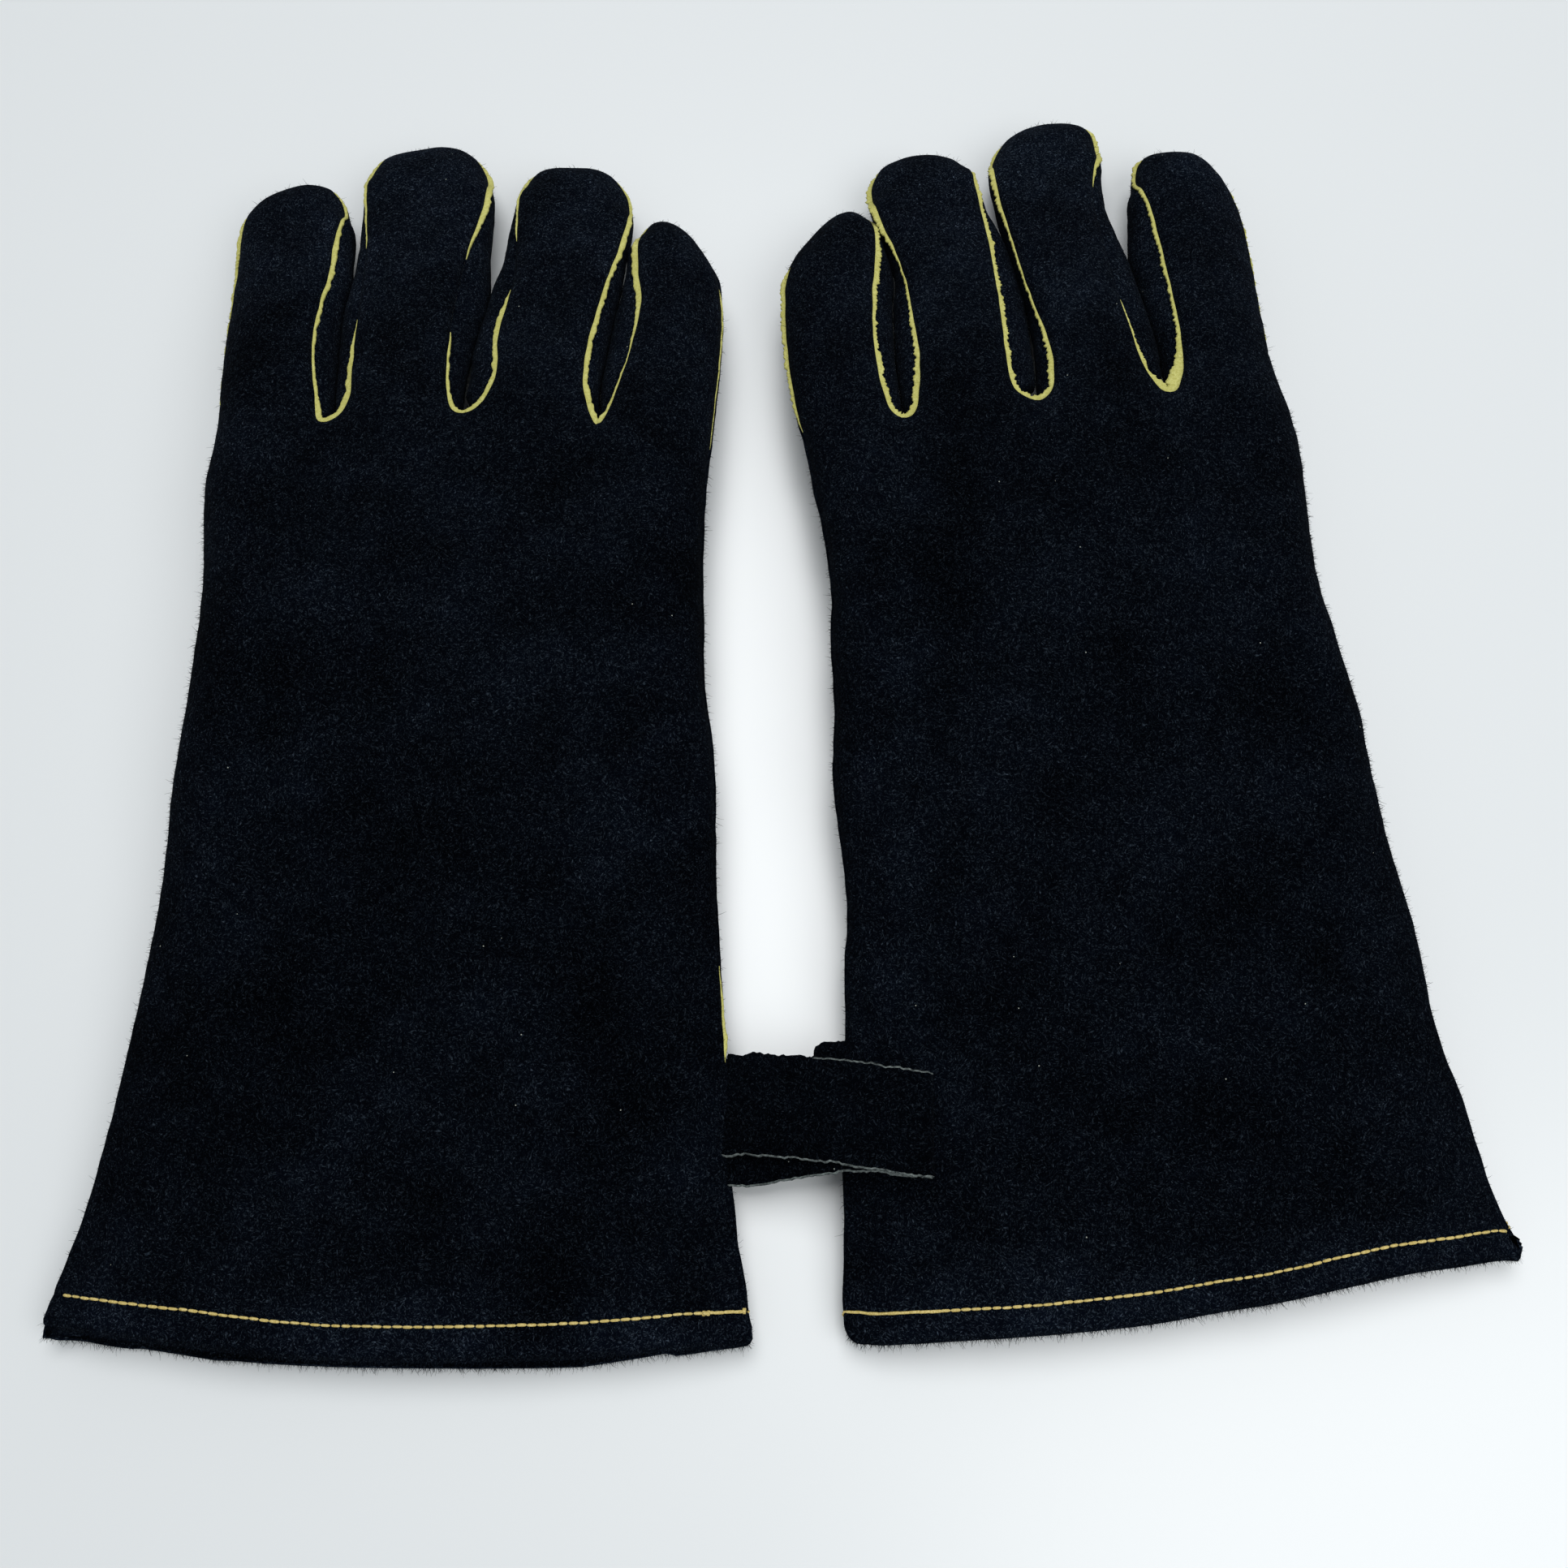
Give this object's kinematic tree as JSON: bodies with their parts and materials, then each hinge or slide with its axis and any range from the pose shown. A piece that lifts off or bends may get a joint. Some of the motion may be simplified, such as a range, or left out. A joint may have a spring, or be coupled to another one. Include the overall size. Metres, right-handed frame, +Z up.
{
  "type": "welding gloves",
  "caption": "Pair of black suede welding gauntlets with yellow seam welts and hang loops, lying palm down with the thumbs tucked under; wrists, fingers, thumbs and loops bend.",
  "frame": {"origin": "middle of the pair's outline, on the surface that the gloves lie on", "axes": "+Y from the hems to the fingertips, +X from the right-hand glove to the left-hand glove, +Z up from the surface"},
  "size_m": [0.3734, 0.3752, 0.035],
  "materials": {
    "suede": "napped suede, matt",
    "welt": "cut split leather, matt",
    "thread": "twisted sewing thread",
    "lining": "brushed cotton"
  },
  "bodies": {
    "left_cuff": {"left_cuff_back": "suede", "left_cuff_palm": "suede", "left_cuff_welts": "welt", "left_cuff_lining": "lining", "left_hem_stitching": "thread"},
    "left_hand": {"left_hand_back": "suede", "left_hand_palm": "suede", "left_hand_welts": "welt", "left_hand_lining": "lining"},
    "left_index": {"left_index_back": "suede", "left_index_front": "suede", "left_index_welt": "welt", "left_index_lining": "lining"},
    "left_middle": {"left_middle_back": "suede", "left_middle_front": "suede", "left_middle_welt": "welt", "left_middle_lining": "lining"},
    "left_ring": {"left_ring_back": "suede", "left_ring_front": "suede", "left_ring_welt": "welt", "left_ring_lining": "lining"},
    "left_little": {"left_little_back": "suede", "left_little_front": "suede", "left_little_welt": "welt", "left_little_lining": "lining"},
    "left_thumb": {"left_thumb_back": "suede", "left_thumb_front": "suede", "left_thumb_welt": "welt", "left_thumb_lining": "lining"},
    "left_loop": {"left_hang_loop": "suede"},
    "right_cuff": {"right_cuff_back": "suede", "right_cuff_palm": "suede", "right_cuff_welts": "welt", "right_cuff_lining": "lining", "right_hem_stitching": "thread"},
    "right_hand": {"right_hand_back": "suede", "right_hand_palm": "suede", "right_hand_welts": "welt", "right_hand_lining": "lining"},
    "right_index": {"right_index_back": "suede", "right_index_front": "suede", "right_index_welt": "welt", "right_index_lining": "lining"},
    "right_middle": {"right_middle_back": "suede", "right_middle_front": "suede", "right_middle_welt": "welt", "right_middle_lining": "lining"},
    "right_ring": {"right_ring_back": "suede", "right_ring_front": "suede", "right_ring_welt": "welt", "right_ring_lining": "lining"},
    "right_little": {"right_little_back": "suede", "right_little_front": "suede", "right_little_welt": "welt", "right_little_lining": "lining"},
    "right_thumb": {"right_thumb_back": "suede", "right_thumb_front": "suede", "right_thumb_welt": "welt", "right_thumb_lining": "lining"},
    "right_loop": {"right_hang_loop": "suede"}
  },
  "joints": [
    {"name": "glove_lift", "type": "slide", "parent": "left_cuff", "child": "right_cuff", "axis": [0, 0, 1], "range_m": [0, 0.15]},
    {"name": "left_wrist_bend", "type": "hinge", "parent": "left_cuff", "child": "left_hand", "pos_m": [0.0823, -0.0209, 0.02256], "axis": [-0.994, -0.1097, 0], "range_deg": [-30, 30], "stiffness_Nm_per_rad": 1},
    {"name": "left_index_curl", "type": "hinge", "parent": "left_hand", "child": "left_index", "pos_m": [0.12306, 0.09477, 0.024], "axis": [-0.9997, -0.0227, 0], "range_deg": [-20, 70], "stiffness_Nm_per_rad": 0.15},
    {"name": "left_middle_curl", "type": "hinge", "parent": "left_hand", "child": "left_middle", "pos_m": [0.08688, 0.09077, 0.024], "axis": [-0.9965, -0.0837, 0], "range_deg": [-20, 70], "stiffness_Nm_per_rad": 0.15},
    {"name": "left_ring_curl", "type": "hinge", "parent": "left_hand", "child": "left_ring", "pos_m": [0.04831, 0.08651, 0.024], "axis": [-0.9965, -0.0837, 0], "range_deg": [-20, 70], "stiffness_Nm_per_rad": 0.15},
    {"name": "left_little_curl", "type": "hinge", "parent": "left_hand", "child": "left_little", "pos_m": [0.01372, 0.0827, 0.024], "axis": [-0.9983, -0.0576, 0], "range_deg": [-20, 70], "stiffness_Nm_per_rad": 0.15},
    {"name": "left_thumb_swing", "type": "hinge", "parent": "left_hand", "child": "left_thumb", "pos_m": [0.1276, 0.00623, 0.0066], "axis": [0, 0, -1], "range_deg": [-15, 75], "stiffness_Nm_per_rad": 0.05},
    {"name": "left_loop_swing", "type": "hinge", "parent": "left_cuff", "child": "left_loop", "pos_m": [0.00915, -0.12154, 0.01442], "axis": [-0.1097, 0.994, 0], "range_deg": [0, 3], "stiffness_Nm_per_rad": 0.008},
    {"name": "right_wrist_bend", "type": "hinge", "parent": "right_cuff", "child": "right_hand", "pos_m": [-0.09562, -0.03152, 0.02256], "axis": [-0.9998, 0.0175, 0], "range_deg": [-30, 30], "stiffness_Nm_per_rad": 1},
    {"name": "right_index_curl", "type": "hinge", "parent": "right_hand", "child": "right_index", "pos_m": [-0.14688, 0.07989, 0.024], "axis": [-0.9998, -0.0175, 0], "range_deg": [-20, 70], "stiffness_Nm_per_rad": 0.15},
    {"name": "right_middle_curl", "type": "hinge", "parent": "right_hand", "child": "right_middle", "pos_m": [-0.11049, 0.07926, 0.024], "axis": [-0.9984, 0.0558, 0], "range_deg": [-20, 70], "stiffness_Nm_per_rad": 0.15},
    {"name": "right_ring_curl", "type": "hinge", "parent": "right_hand", "child": "right_ring", "pos_m": [-0.07169, 0.07858, 0.024], "axis": [-0.9973, 0.0732, 0], "range_deg": [-20, 70], "stiffness_Nm_per_rad": 0.15},
    {"name": "right_little_curl", "type": "hinge", "parent": "right_hand", "child": "right_little", "pos_m": [-0.0369, 0.07797, 0.024], "axis": [-0.999, 0.0436, 0], "range_deg": [-20, 70], "stiffness_Nm_per_rad": 0.15},
    {"name": "right_thumb_swing", "type": "hinge", "parent": "right_hand", "child": "right_thumb", "pos_m": [-0.14323, -0.00869, 0.0066], "axis": [0, 0, 1], "range_deg": [-15, 75], "stiffness_Nm_per_rad": 0.05},
    {"name": "right_loop_swing", "type": "hinge", "parent": "right_cuff", "child": "right_loop", "pos_m": [-0.01349, -0.12497, 0.01442], "axis": [-0.0175, -0.9998, 0], "range_deg": [0, 100], "stiffness_Nm_per_rad": 0.008}
  ]
}
